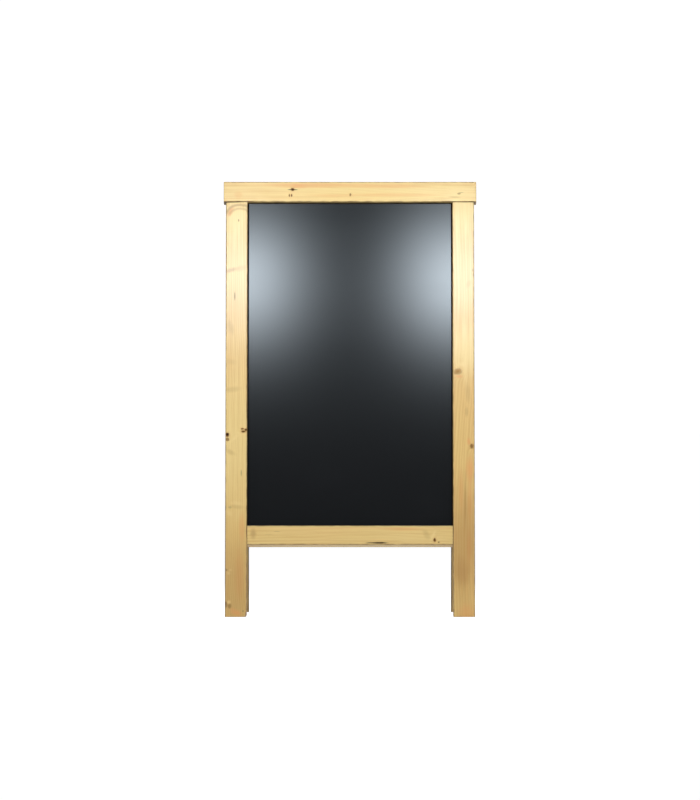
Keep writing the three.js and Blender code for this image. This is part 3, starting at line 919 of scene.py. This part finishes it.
REAR_BOTTOM = dict(
    log=Log(30, 110, -0.03, 0.03, 4.6),
    knots=[Knot(190, 18, 10, 8, 0.8, 0.7)],
    streaks=[Streak(430, 40, 30, 1.6, 0.4)],
    blush=0.3,
)
# Each board's looks and the seed of its grain.
BOARDS = {
    ("front", "header_rail"): (FRONT_HEADER, 3),
    ("front", "left"): (FRONT_LEFT, 11),
    ("front", "right"): (FRONT_RIGHT, 19),
    ("front", "bottom_rail"): (FRONT_BOTTOM, 27),
    ("rear", "header_rail"): (REAR_HEADER, 35),
    ("rear", "left"): (REAR_LEFT, 43),
    ("rear", "right"): (REAR_RIGHT, 51),
    ("rear", "bottom_rail"): (REAR_BOTTOM, 59),
}
DINGS = {
    ("front", "left"): [Ding(1130, 3, 1.4), Ding(420, 3, 0.8)],
    ("front", "right"): [Ding(190, 0, 1.0), Ding(905, 3, 0.9)],
    ("front", "header_rail"): [Ding(640, 1, 0.9)],
    ("rear", "left"): [Ding(1040, 1, 1.2)],
    ("rear", "right"): [Ding(610, 2, 0.9)],
}
# How far a stile's top drops away from the header at its outer edge.
CLOSED_JOINT = 0.3 * MM
OPEN_JOINTS = {("front", "left"): 1.9 * MM, ("front", "right"): 0.8 * MM}
CHIPPED_LEG = ("front", "left")


def make_boards():
    for frame_name in FRAMES:
        for kind in ("header_rail", "bottom_rail"):
            make_rail(frame_name, kind)
        for side in SIDES:
            make_stile(frame_name, side)


# ---------------- chalk panels
PANEL_ARRIS = 0.5 * MM
PANEL_CUTS = 23
# How far in from its edges a panel is dull and dark: the groove, and beside the timber a painted
# shade line for the shadow in the recess.
SHADED_SIDE = 12.0 * MM
SHADED_END = 10.6 * MM


def laminate(name):
    """Satin black chalk surface: fine even grain and faint wiped clouds."""
    make = new_recipe(name)
    x, y, z = make.board()
    point = make.vector(x, y, z)
    grain = make.noise(point, scale=1400, detail=2, roughness=0.6)
    stipple = make.noise(point, scale=520, detail=2)
    cloud = make.noise(make.vector(x * 3.0, y * 9, z * 5.0), detail=4, roughness=0.55)
    wipes = make.noise(make.vector(x * 5.0 + z * 3.0, y * 9, z * 60 - x * 14), detail=3)
    base = make.mix(stipple, (0.0032, 0.0034, 0.0038, 1), (0.0062, 0.0066, 0.0074, 1))
    return make.shade(
        Base_Color=make.mix(make.smooth(cloud, 0.55, 0.8) * 0.25, base, (0.014, 0.015, 0.016, 1)),
        Roughness=make.span(cloud, 0.185, 0.2) + make.smooth(wipes, 0.5, 0.8) * 0.006,
        Specular_IOR_Level=0.44,
        Specular_Tint=(0.80, 0.91, 1.0, 1),
        Normal=make.bump(grain + stipple * 0.6, 0.00002, 0.3),
    )


def painted_shade_edge(name):
    """The panel's sides: raw brown-black board and dust in the grooves, and just beside them the
    same dark, dull finish as painted shade, for the shadow where the panel meets the timber.
    """
    make = new_recipe(name)
    x, y, z = make.board()
    dust = make.noise(make.vector(x * 900, y * 900, z * 220), detail=3)
    return make.shade(
        Base_Color=make.mix(dust, (0.0030, 0.0020, 0.0012, 1), (0.0075, 0.0052, 0.0032, 1)),
        Roughness=make.span(dust, 0.62, 0.8),
        Specular_IOR_Level=0.03,
        Normal=make.bump(dust, 0.00004, 0.4),
    )


def make_panel(frame_name):
    node = f"{frame_name}_chalk_panel"
    low, high = local_box(node, frame_name)
    bm = box_mesh(low, high)
    bmesh.ops.bevel(
        bm, geom=bm.edges[:], offset=PANEL_ARRIS, segments=2, profile=0.5, affect="EDGES"
    )
    wide = [edge for edge in bm.edges if edge.calc_length() > 0.1]
    bmesh.ops.subdivide_edges(bm, edges=wide, cuts=PANEL_CUTS, use_grid_fill=True)
    rim = Vector((SHADED_SIDE, 0, SHADED_END))
    bright = Box(low + rim, high - rim)
    for corner in bright:
        for normal in ((1, 0, 0), (0, 0, 1)):
            everything = bm.verts[:] + bm.edges[:] + bm.faces[:]
            bmesh.ops.bisect_plane(bm, geom=everything, plane_co=corner, plane_no=normal)
    # Faces outside the bright box take the second material: the groove edge and its painted shade
    # line.
    for face in bm.faces:
        x, _, z = face.calc_center_median()
        is_bright = bright.low.x < x < bright.high.x and bright.low.z < z < bright.high.z
        face.material_index = 0 if is_bright else 1
    material = laminate(f"laminate_{frame_name}")
    piece = frame_piece(frame_name, node, "board", bm, material, 10)
    piece.data.materials.append(painted_shade_edge(f"laminate_shaded_edge_{frame_name}"))
    write_places(piece, frame_name)


# ---------------- zinc-plated hardware
def zinc(name):
    """Bright zinc plating: cool grey, faint yellow stains, fine scratches and a soft bloom."""
    make = new_recipe(name)
    x, y, z = make.object_place()
    point = make.vector(x, y, z)
    bloom = make.noise(point, scale=210, detail=4, roughness=0.6)
    stain = make.noise(point, scale=60, detail=3)
    scratch = make.noise(make.vector(x * 260, y * 4200, z * 4200), detail=2)
    base = make.mix(bloom, (0.46, 0.47, 0.49, 1), (0.62, 0.63, 0.65, 1))
    base = make.mix(make.smooth(stain, 0.5, 0.75) * 0.35, base, (0.60, 0.53, 0.38, 1))
    return make.shade(
        Base_Color=base,
        Metallic=1.0,
        Roughness=make.span(bloom, 0.24, 0.42) + make.smooth(scratch, 0.55, 0.75) * 0.1,
        Normal=make.bump(scratch + bloom * 0.6, 0.00002, 0.5),
    )


LEAF_THICKNESS = 2 * MM
LEAF_CORNER = 3 * MM
NOTCH_CLEARANCE = 0.5 * MM
KNUCKLE_COUNT = 5
KNUCKLE_GAP = 0.3 * MM
CURL_END = math.radians(204)
PIN_RADIUS = 2 * MM
PIN_SLACK = 0.06 * MM
PIN_HEAD = 1.4 * MM
SCREW_HEAD_RADIUS = 3.8 * MM
SCREW_HEAD_HEIGHT = 1.7 * MM
SCREW_RADIUS = 1.9 * MM
SCREW_RIM = 0.2 * MM
SCREW_ANGLES = {"left": 0.4, "middle": 1.1, "right": 2.0}


def plate_mesh(outline, low, high, bevel):
    """A flat plate from an outline of (x, y) points, from z low to high, its rims eased."""
    bm = bmesh.new()
    ring = [bm.verts.new((x, y, low)) for x, y in outline]
    floor = bm.faces.new(ring)
    raised = bmesh.ops.extrude_face_region(bm, geom=[floor])
    top = [item for item in raised["geom"] if isinstance(item, bmesh.types.BMVert)]
    bmesh.ops.translate(bm, vec=(0, 0, high - low), verts=top)
    bmesh.ops.recalc_face_normals(bm, faces=bm.faces)
    rims = [e for e in bm.edges if abs(e.verts[0].co.z - e.verts[1].co.z) < 1e-9]
    bmesh.ops.bevel(bm, geom=rims, offset=bevel, segments=2, profile=0.5, affect="EDGES")
    return bm


def rounded_outline(low, high, radius):
    """Points round a rectangle with rounded corners, anticlockwise."""
    left, right = low[0] + radius, high[0] - radius
    lower, upper = low[1] + radius, high[1] - radius
    points = []
    for turn, (x, y) in enumerate([(right, upper), (left, upper), (left, lower), (right, lower)]):
        points += arc(x, y, radius, QUARTER * turn, QUARTER * (turn + 1), 6)
    return points


def knuckle_mesh(start, end, notch, radius, bore):
    """The leaf's edge rolled round the pin from x start to end, with the seam left by the roll."""
    outer = arc(0, 0, radius, -QUARTER, CURL_END, 30)
    inner = arc(0, 0, bore, -QUARTER, CURL_END, 30)
    root = notch - LEAF_CORNER
    outline = [(root, -radius), *outer, *reversed(inner), (root, -radius + LEAF_THICKNESS)]
    bm = plate_mesh(outline, start, end, 0.18 * MM)
    axes = Matrix(((0, 0, 1, 0), (1, 0, 0, 0), (0, 1, 0, 0), (0, 0, 0, 1)))
    return moved(bm, axes)


def screw_hole(centre, top):
    """A countersunk hole that just clears a screw's head."""
    slack = 0.12 * MM
    profile = [
        (0, -8 * MM), (SCREW_RADIUS + slack, -8 * MM),
        (SCREW_RADIUS + slack, -SCREW_HEAD_HEIGHT), (SCREW_HEAD_RADIUS + slack, -SCREW_RIM),
        (SCREW_HEAD_RADIUS + slack, 2 * MM), (0, 2 * MM),
    ]
    return moved(lathe_mesh(profile, 40), Matrix.Translation((centre.x, centre.y, top)))


def make_leaf(frame_name, side, material):
    node = f"{side}_hinge_{frame_name}_leaf"
    low, high = local_box(node, frame_name)
    radius = -low.z
    notch = -radius - NOTCH_CLEARANCE
    outline = rounded_outline((low.x, low.y), (high.x, notch), LEAF_CORNER)
    leaf = plate_mesh(outline, low.z, low.z + LEAF_THICKNESS, 0.25 * MM)
    pitch = (high.x - low.x) / KNUCKLE_COUNT
    bore = PIN_RADIUS + PIN_SLACK
    for index in range(FRAMES.index(frame_name), KNUCKLE_COUNT, 2):
        start = low.x + index * pitch + KNUCKLE_GAP / 2
        knuckle = knuckle_mesh(start, start + pitch - KNUCKLE_GAP, notch, radius, bore)
        leaf = boolean(leaf, knuckle, "UNION")
    holes = []
    for label in SIDES + ("middle",):
        screw = local_box(f"{side}_hinge_{frame_name}_screw_{label}", frame_name)
        holes.append(screw_hole((screw.low + screw.high) / 2, screw.high.z))
    leaf = boolean(leaf, joined(*holes))
    frame_piece(frame_name, node, "plate", leaf, material, 20)


def cross_cutter(head_radius, depth):
    """The tapered cross recess of a screw head, with its mouth at z = 0."""
    arms = []
    for turn in (0, QUARTER):
        bm = bmesh.new()
        bmesh.ops.create_cube(bm, size=1)
        for vertex in bm.verts:
            top = vertex.co.z > 0
            length = head_radius * (1.15 if top else 0.5)
            breadth = head_radius * (0.30 if top else 0.18)
            vertex.co = Vector((
                vertex.co.x * length, vertex.co.y * breadth, 0.2 * MM if top else -depth
            ))
        arms.append(moved(bm, Matrix.Rotation(turn, 4, "Z")))
    return boolean(arms[0], arms[1], "UNION")


def threaded(radius, start, end, pitch=1.1 * MM):
    """Profile points of a screw thread's ridges from height start up to end."""
    points = []
    height = start
    while height + pitch < end:
        points += [(radius * 0.74, height), (radius, height + pitch * 0.5)]
        height += pitch
    points.append((radius * 0.74, height))
    return points


def hinge_screw_mesh(length):
    """A countersunk wood screw about z, its head's face at z = 0."""
    profile = [(0, -length), (SCREW_RADIUS * 0.3, -length + 1.2 * MM)]
    profile += threaded(SCREW_RADIUS, -length + 3.4 * MM, -SCREW_HEAD_HEIGHT - 2 * MM)
    profile += [
        (SCREW_RADIUS, -SCREW_HEAD_HEIGHT - 1 * MM), (SCREW_RADIUS, -SCREW_HEAD_HEIGHT),
        (SCREW_HEAD_RADIUS, -SCREW_RIM), (SCREW_HEAD_RADIUS * 0.97, 0), (0, 0),
    ]
    return boolean(lathe_mesh(profile, 40), cross_cutter(SCREW_HEAD_RADIUS, 1.3 * MM))


def make_hinge_screws(frame_name, side, material):
    for label, angle in SCREW_ANGLES.items():
        node = f"{side}_hinge_{frame_name}_screw_{label}"
        low, high = local_box(node, frame_name)
        centre = (low + high) / 2
        bm = hinge_screw_mesh(high.z - low.z)
        turn = Matrix.Rotation(angle + (0.7 if side == "left" else 0), 4, "Z")
        moved(bm, turn, Matrix.Translation((centre.x, centre.y, high.z)))
        frame_piece(frame_name, node, "cut", bm, material, 30)


def make_pin(side, material):
    node = f"{side}_hinge_pin"
    low, high = local_box(node, "front")
    half, head_radius = (high.x - low.x) / 2, (high.z - low.z) / 2
    rise = PIN_HEAD * 0.45
    upper = [(PIN_RADIUS, half - PIN_HEAD), (head_radius, half - PIN_HEAD)]
    for x, y in arc(0, 0, 1, 0, QUARTER, 6)[:-1]:
        upper.append((head_radius * x, half - rise + rise * y))
    upper.append((0, half))
    bm = lathe_mesh([(r, -h) for r, h in reversed(upper)] + upper, 48)
    middle = Matrix.Translation(((low.x + high.x) / 2, 0, 0))
    moved(bm, Matrix.Rotation(QUARTER, 4, "Y"), middle)
    frame_piece("front", node, "turned", bm, material)


# ---------------- folding stays
# Stay pieces are made in the part's axes. Screws, rings and rivets lie along x, heads inwards.
PIVOT_RADIUS = 2.4 * MM
PIVOT_HEAD_RADIUS = 5 * MM
PIVOT_HEAD_HEIGHT = 2.2 * MM
RIVET_RADIUS = 2 * MM
RIVET_HEAD_RADIUS = 4.5 * MM
RIVET_HEAD_HEIGHT = 2 * MM
RIVET_TAIL_RADIUS = 3.6 * MM
RIVET_TAIL_HEIGHT = 1.1 * MM
RING_RADIUS = 5 * MM
HOLE_SLACK = 0.15 * MM


def dome_profile(radius, height):
    """A round head's profile from its rim, outwards along +z from z = 0."""
    flat, rim = 0.35, 0.3
    points = [(radius, 0), (radius, height * rim)]
    for x, y in arc(0, 0, 1, 0, QUARTER, 6)[1:]:
        points.append((radius * (flat + (1 - flat) * x), height * (rim + (1 - rim) * y)))
    return points + [(0, height)]


def faces(side, node):
    """A stay node's x on the stile's side, its x on the middle's side, and how far apart."""
    low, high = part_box(node)
    outer, inner = (low, high) if side == "left" else (high, low)
    return outer[0], inner[0], high[0] - low[0]


def along_x(side, x, pivot):
    """Turns +z to point at the board's middle and puts the origin at x on a pivot's axis."""
    turn = Matrix.Rotation(INWARDS[side] * QUARTER, 4, "Y")
    return Matrix.Translation((x, pivot.y, pivot.z)) @ turn


def stay_piece(node, label, bm, body, material, smooth_angle=35, stands=True):
    finish_piece(node, label, bm, Matrix(), body, material, smooth_angle, stands)


def make_link(side, frame_name, pivot, reach, material):
    """A bar with round ends, from the pivot to the knee."""
    node = f"{side}_stay_{frame_name}_link"
    low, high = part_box(node)
    radius = (high[2] - low[2]) / 2
    outline = arc(reach, 0, radius, -QUARTER, QUARTER, 14)
    outline += arc(0, 0, radius, QUARTER, 3 * QUARTER, 14)
    bar = plate_mesh(outline, 0, high[0] - low[0], 0.3 * MM)
    pivot_hole = rod_mesh(PIVOT_RADIUS + HOLE_SLACK, -0.01, 0.01, 36)
    rivet_hole = rod_mesh(RIVET_RADIUS + HOLE_SLACK, -0.01, 0.01, 36)
    moved(rivet_hole, Matrix.Translation((reach, 0, 0)))
    bar = boolean(bar, joined(pivot_hole, rivet_hole))
    towards = 1 if frame_name == "front" else -1
    axes = Matrix((
        (0, 0, 1, low[0]),
        (towards, 0, 0, pivot.y),
        (0, 1, 0, pivot.z),
        (0, 0, 0, 1),
    ))
    stay_piece(node, "bar", moved(bar, axes), node, material, 20)


def make_pivot_screw(side, frame_name, pivot, material):
    """Its round head bears on the link. Its shank, plain at first, runs into the stile."""
    node = f"{side}_stay_{frame_name}_pivot_screw"
    _, inner, length = faces(side, node)
    tip = PIVOT_HEAD_HEIGHT - length
    profile = [(0, tip), (1 * MM, tip + 2.5 * MM)]
    profile += threaded(PIVOT_RADIUS, tip + 3.5 * MM, -9 * MM)
    profile += [(PIVOT_RADIUS, -7 * MM), (PIVOT_RADIUS, 0)]
    profile += dome_profile(PIVOT_HEAD_RADIUS, PIVOT_HEAD_HEIGHT)
    recess = cross_cutter(PIVOT_HEAD_RADIUS * 0.88, 1.4 * MM)
    moved(recess, Matrix.Translation((0, 0, PIVOT_HEAD_HEIGHT)))
    screw = boolean(lathe_mesh(profile, 44), recess)
    turn = Matrix.Rotation(0.6 if frame_name == "front" else 1.3, 4, "Z")
    moved(screw, turn, along_x(side, inner - INWARDS[side] * PIVOT_HEAD_HEIGHT, pivot))
    stay_piece(node, "cut", screw, f"{frame_name}_frame", material, 30)


def make_stay_ring(side, frame_name, pivot, material):
    """The washer or bush that keeps a link clear of its stile."""
    node = f"{side}_stay_{frame_name}_{'washer' if frame_name == 'front' else 'bush'}"
    outer, _, thickness = faces(side, node)
    ring = ring_mesh(PIVOT_RADIUS + 0.2 * MM, RING_RADIUS, 0, thickness, 0.25 * MM)
    moved(ring, along_x(side, outer, pivot))
    stay_piece(node, "ring", ring, f"{frame_name}_frame", material, 20)


def rivet_mesh(shank, head_radius, head_height):
    profile = [(0, -shank), (RIVET_RADIUS, -shank), (RIVET_RADIUS, 0)]
    return lathe_mesh(profile + dome_profile(head_radius, head_height), 44)


def make_knee_rivet(side, knee, material):
    """Its head and shank ride in the rear link, and its peened tail in the front link."""
    node = f"{side}_stay_knee_rivet"
    _, inner, length = faces(side, node)
    head = rivet_mesh(length - RIVET_HEAD_HEIGHT, RIVET_HEAD_RADIUS, RIVET_HEAD_HEIGHT)
    moved(head, along_x(side, inner - INWARDS[side] * RIVET_HEAD_HEIGHT, knee))
    stay_piece(node, "head", head, f"{side}_stay_rear_link", material)

    link = f"{side}_stay_front_link"
    outer, _, thickness = faces(side, link)
    tail = rivet_mesh(thickness, RIVET_TAIL_RADIUS, RIVET_TAIL_HEIGHT)
    moved(tail, Matrix.Rotation(math.pi, 4, "Y"), along_x(side, outer, knee))
    stay_piece(node, "tail", tail, link, material, stands=False)


def make_stay(side, material):
    pivots = {f: Vector(JOINTS[f"{side}_stay_{f}_pivot"]["pos_m"]) for f in FRAMES}
    knee = (pivots["front"] + pivots["rear"]) / 2
    for frame_name, pivot in pivots.items():
        make_link(side, frame_name, pivot, abs(knee.y - pivot.y), material)
        make_pivot_screw(side, frame_name, pivot, material)
        make_stay_ring(side, frame_name, pivot, material)
    make_knee_rivet(side, knee, material)


def make_hardware():
    plating = zinc("zinc_plating")
    for side in SIDES:
        for frame_name in FRAMES:
            make_leaf(frame_name, side, plating)
            make_hinge_screws(frame_name, side, plating)
        make_pin(side, plating)
        make_stay(side, plating)


def finish_dowels():
    """The dowels keep their CAD shape, which shows only where a joint is taken apart."""
    wood = beech("beech")
    for name, node in frame["nodes"].items():
        if "_dowel_" in name:
            node.data.materials.clear()
            node.data.materials.append(wood)


# ---------------- floor, light and camera
CAMERA_DISTANCE = 26.0
METRES_HIGH = 2.2216  # what the picture's height spans at the board
CAMERA_HEIGHT = 0.5953
SENSOR = 36.0


def make_camera():
    data = bpy.data.cameras.new("camera")
    data.sensor_width = SENSOR
    data.lens = SENSOR * CAMERA_DISTANCE / METRES_HIGH
    data.clip_end = 200
    camera = add_object("camera", data)
    camera.location = (0, -CAMERA_DISTANCE, CAMERA_HEIGHT)
    camera.rotation_euler = (QUARTER, 0, 0)
    bpy.context.scene.camera = camera


def soft_light(name, place, target, size, power, fade=0.0):
    """An area light. fade above 0 dims it smoothly outwards from its middle, as in a softbox: to
    exp(-fade) half way along each edge."""
    data = bpy.data.lights.new(name, "AREA")
    data.shape = "SQUARE"
    data.size = size
    data.energy = power
    if fade > 0:
        make = Recipe(data, "Emission")
        across, up, _ = make.split(make.value("Parametric", "ShaderNodeNewGeometry"))
        away = make.length(across - 0.5, up - 0.5)
        make.shade(Strength=make.math("EXPONENT", away * away * (-4 * fade)))
    light = add_object(name, data)
    light.location = place
    light.rotation_euler = (Vector(target) - Vector(place)).to_track_quat("-Z", "Y").to_euler()
    light.visible_camera = False


def make_lights():
    for side, power in ((-1, 57), (1, 61)):
        place = (side * 0.33, -1.43, 1.61)
        target = (side * 0.28, -0.08, 0.93)
        soft_light(f"front_{side}", place, target, 0.7, power, fade=6.4)
        soft_light(f"fill_{side}", (side * 1.7, -1.9, 0.75), (0, -0.1, 0.65), 0.9, 9)
        soft_light(f"back_{side}", (side * 1.1, 2.3, 2.1), (0, 0.1, 0.6), 1.0, 26)


def make_world():
    """White to the camera, and a softer grey as light."""
    world = bpy.data.worlds.new("studio")
    bpy.context.scene.world = world
    make = Recipe(world, "Background")
    make.shade(Color=(1, 1, 1, 1), Strength=make.seen_or_light(0.14, 1.05))


def make_floor():
    """A plain pale floor, just under the feet."""
    bm = bmesh.new()
    bmesh.ops.create_grid(bm, x_segments=1, y_segments=1, size=150)
    floor = add_object("floor", as_mesh(bm, "floor"))
    floor.location.z = -0.5 * MM
    make = new_recipe("floor")
    make.shade(
        Base_Color=(0.6, 0.6, 0.6, 1),
        Roughness=0.9,
        Specular_IOR_Level=0.0,
        Emission_Color=(1, 1, 1, 1),
        Emission_Strength=make.seen_or_light(0.3, 0.93),
    )
    floor.data.materials.append(make.owner)


# ---------------- build
make_camera()
make_world()
make_lights()
make_floor()
make_boards()
for name in FRAMES:
    make_panel(name)
make_hardware()
finish_dowels()

bpy.context.scene.view_settings.view_transform = "Standard"
